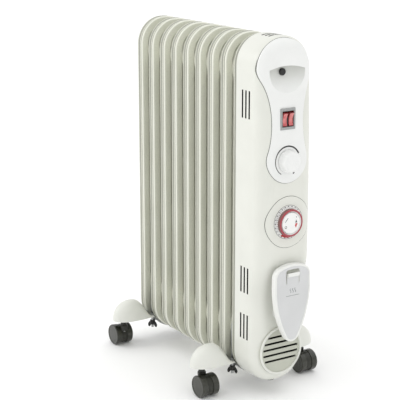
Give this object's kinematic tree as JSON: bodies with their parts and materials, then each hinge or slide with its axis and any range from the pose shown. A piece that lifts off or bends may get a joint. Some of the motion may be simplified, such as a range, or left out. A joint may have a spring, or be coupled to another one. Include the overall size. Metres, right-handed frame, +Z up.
{
  "type": "oil filled radiator heater",
  "caption": "Portable oil filled radiator: pressed steel fins, control cover with switches, thermostat knob and timer, cord hook and swivel casters.",
  "frame": {"origin": "on the floor under the middle of the object's box", "axes": "+X along the row of fins towards the controls, +Z up"},
  "size_m": [0.4445, 0.262, 0.6418],
  "materials": {
    "fin_enamel": "gloss cream enamel",
    "cover_enamel": "gloss cream enamel",
    "hood_plastic": "moulded, satin",
    "panel_plastic": "moulded, satin",
    "knob_plastic": "moulded, gloss",
    "hook_plastic": "moulded, satin",
    "black_plastic": "moulded",
    "bezel_plastic": "moulded",
    "red_rocker": "tinted clear",
    "timer_red": "moulded",
    "timer_white": "moulded",
    "wheel_plastic": "moulded",
    "caster_plastic": "moulded",
    "nut_plastic": "moulded",
    "gasket_rubber": "sheet",
    "element_steel": "drawn",
    "plated_steel": "zinc plated"
  },
  "bodies": {
    "root": {"control_cover": "cover_enamel", "control_panel": "panel_plastic", "cord_gland": "black_plastic", "cord_hook": "hook_plastic", "element_gasket": "gasket_rubber", "fin_1": "fin_enamel", "fin_2": "fin_enamel", "fin_3": "fin_enamel", "fin_4": "fin_enamel", "fin_5": "fin_enamel", "fin_6": "fin_enamel", "fin_7": "fin_enamel", "fin_8": "fin_enamel", "fin_9": "fin_enamel", "foot_bar_front": "plated_steel", "foot_bar_rear": "plated_steel", "heat_shield": "plated_steel", "heating_element": "element_steel", "hood_front_left": "hood_plastic", "hood_front_right": "hood_plastic", "hood_rear_left": "hood_plastic", "hood_rear_right": "hood_plastic", "oil_filler_plug": "plated_steel", "panel_screw_cap": "black_plastic", "screws": "plated_steel", "switch_bezel": "bezel_plastic", "switch_housing": "black_plastic", "terminal_block": "black_plastic", "thermal_cutout": "element_steel", "thermostat_body": "plated_steel", "tilt_switch_bracket": "black_plastic", "timer_bezel": "cover_enamel", "timer_centre_plate": "timer_white", "timer_module": "black_plastic", "u_bolts": "plated_steel", "vent_grille": "cover_enamel", "wing_nuts": "nut_plastic"},
    "caster_front_left": {"caster_frame_front_left": "caster_plastic", "caster_pins_front_left": "plated_steel"},
    "wheel_front_left_a": {"wheel_front_left_a": "wheel_plastic"},
    "wheel_front_left_b": {"wheel_front_left_b": "wheel_plastic"},
    "caster_front_right": {"caster_frame_front_right": "caster_plastic", "caster_pins_front_right": "plated_steel"},
    "wheel_front_right_a": {"wheel_front_right_a": "wheel_plastic"},
    "wheel_front_right_b": {"wheel_front_right_b": "wheel_plastic"},
    "caster_rear_left": {"caster_frame_rear_left": "caster_plastic", "caster_pins_rear_left": "plated_steel"},
    "wheel_rear_left_a": {"wheel_rear_left_a": "wheel_plastic"},
    "wheel_rear_left_b": {"wheel_rear_left_b": "wheel_plastic"},
    "caster_rear_right": {"caster_frame_rear_right": "caster_plastic", "caster_pins_rear_right": "plated_steel"},
    "wheel_rear_right_a": {"wheel_rear_right_a": "wheel_plastic"},
    "wheel_rear_right_b": {"wheel_rear_right_b": "wheel_plastic"},
    "rocker_left": {"rocker_left": "red_rocker"},
    "rocker_right": {"rocker_right": "red_rocker"},
    "thermostat": {"thermostat_knob": "knob_plastic", "thermostat_shaft": "plated_steel"},
    "dial": {"timer_dial": "timer_red", "timer_tappets": "timer_white"},
    "pendulum": {"tilt_pendulum": "plated_steel"}
  },
  "joints": [
    {"name": "caster_front_left_swivel", "type": "hinge", "parent": "root", "child": "caster_front_left", "pos_m": [0.0975, -0.109, 0.045], "axis": [0, 0, 1], "continuous": true},
    {"name": "wheel_front_left_a_spin", "type": "hinge", "parent": "caster_front_left", "child": "wheel_front_left_a", "pos_m": [0.1105, -0.109, 0.02], "axis": [0, 1, 0], "continuous": true},
    {"name": "wheel_front_left_b_spin", "type": "hinge", "parent": "caster_front_left", "child": "wheel_front_left_b", "pos_m": [0.1105, -0.109, 0.02], "axis": [0, 1, 0], "continuous": true},
    {"name": "caster_front_right_swivel", "type": "hinge", "parent": "root", "child": "caster_front_right", "pos_m": [0.0975, 0.109, 0.045], "axis": [0, 0, 1], "continuous": true},
    {"name": "wheel_front_right_a_spin", "type": "hinge", "parent": "caster_front_right", "child": "wheel_front_right_a", "pos_m": [0.1105, 0.109, 0.02], "axis": [0, 1, 0], "continuous": true},
    {"name": "wheel_front_right_b_spin", "type": "hinge", "parent": "caster_front_right", "child": "wheel_front_right_b", "pos_m": [0.1105, 0.109, 0.02], "axis": [0, 1, 0], "continuous": true},
    {"name": "caster_rear_left_swivel", "type": "hinge", "parent": "root", "child": "caster_rear_left", "pos_m": [-0.1895, -0.109, 0.045], "axis": [0, 0, 1], "continuous": true},
    {"name": "wheel_rear_left_a_spin", "type": "hinge", "parent": "caster_rear_left", "child": "wheel_rear_left_a", "pos_m": [-0.2025, -0.109, 0.02], "axis": [0, 1, 0], "continuous": true},
    {"name": "wheel_rear_left_b_spin", "type": "hinge", "parent": "caster_rear_left", "child": "wheel_rear_left_b", "pos_m": [-0.2025, -0.109, 0.02], "axis": [0, 1, 0], "continuous": true},
    {"name": "caster_rear_right_swivel", "type": "hinge", "parent": "root", "child": "caster_rear_right", "pos_m": [-0.1895, 0.109, 0.045], "axis": [0, 0, 1], "continuous": true},
    {"name": "wheel_rear_right_a_spin", "type": "hinge", "parent": "caster_rear_right", "child": "wheel_rear_right_a", "pos_m": [-0.2025, 0.109, 0.02], "axis": [0, 1, 0], "continuous": true},
    {"name": "wheel_rear_right_b_spin", "type": "hinge", "parent": "caster_rear_right", "child": "wheel_rear_right_b", "pos_m": [-0.2025, 0.109, 0.02], "axis": [0, 1, 0], "continuous": true},
    {"name": "rocker_left_press", "type": "hinge", "parent": "root", "child": "rocker_left", "pos_m": [0.19595, -0.0095, 0.505], "axis": [0, 1, 0], "range_deg": [-16, 0]},
    {"name": "rocker_right_press", "type": "hinge", "parent": "root", "child": "rocker_right", "pos_m": [0.19595, 0.0035, 0.505], "axis": [0, 1, 0], "range_deg": [-16, 0]},
    {"name": "thermostat_turn", "type": "hinge", "parent": "root", "child": "thermostat", "pos_m": [0.19948, -0.003, 0.433], "axis": [-1, 0, 0], "range_deg": [0, 285]},
    {"name": "timer_turn", "type": "hinge", "parent": "root", "child": "dial", "pos_m": [0.2005, 0, 0.326], "axis": [-1, 0, 0], "continuous": true},
    {"name": "tilt_swing", "type": "hinge", "parent": "root", "child": "pendulum", "pos_m": [0.1477, 0.026, 0.2], "axis": [0, 1, 0], "range_deg": [-30, 30]}
  ]
}
